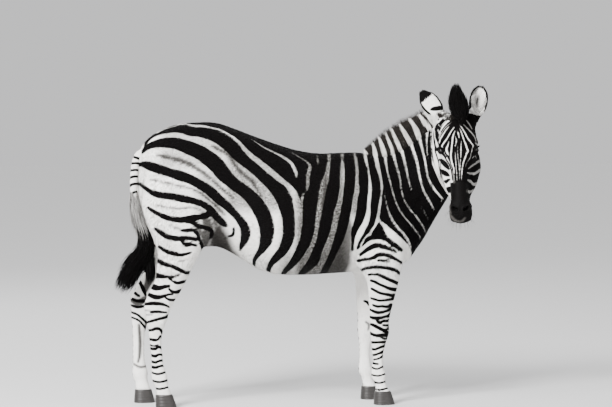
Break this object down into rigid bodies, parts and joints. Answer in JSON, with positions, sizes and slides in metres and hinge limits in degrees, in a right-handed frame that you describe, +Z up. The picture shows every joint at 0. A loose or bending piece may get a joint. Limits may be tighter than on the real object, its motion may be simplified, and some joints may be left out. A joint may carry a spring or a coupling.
{
  "type": "zebra",
  "caption": "Life-size still model of a plains zebra standing side-on with its head turned to face its right, striped coat, upright mane and tufted tail",
  "frame": {"origin": "on the floor, under the middle of the bounding box", "axes": "+X the way the body faces, +Y its left side, +Z up; the head is turned to face -Y"},
  "size_m": [1.8296, 0.7368, 1.5862],
  "materials": {
    "coat": "short flat hair in black and white stripes",
    "muzzle": "bare dark skin with very short hair",
    "mane": "stiff upright hair, striped, with dark tips",
    "tassel": "long black hair",
    "hoof": "dull dark horn",
    "eye": "wet and very dark"
  },
  "bodies": {
    "root": {"head": "coat", "neck_top": "coat", "neck_base": "coat", "forequarters": "coat", "barrel": "coat", "hindquarters": "coat", "ear_left": "coat", "ear_right": "coat", "tail_dock": "coat", "forearm_left": "coat", "knee_left": "coat", "fore_cannon_left": "coat", "fore_pastern_left": "coat", "thigh_left": "coat", "gaskin_left": "coat", "hock_left": "coat", "hind_cannon_left": "coat", "hind_pastern_left": "coat", "forearm_right": "coat", "knee_right": "coat", "fore_cannon_right": "coat", "fore_pastern_right": "coat", "thigh_right": "coat", "gaskin_right": "coat", "hock_right": "coat", "hind_cannon_right": "coat", "hind_pastern_right": "coat", "muzzle": "muzzle", "mane": "mane", "forelock": "mane", "tail_tassel": "tassel", "eye_left": "eye", "eye_right": "eye", "fore_hoof_left": "hoof", "fore_hoof_right": "hoof", "hind_hoof_left": "hoof", "hind_hoof_right": "hoof"}
  },
  "joints": []
}
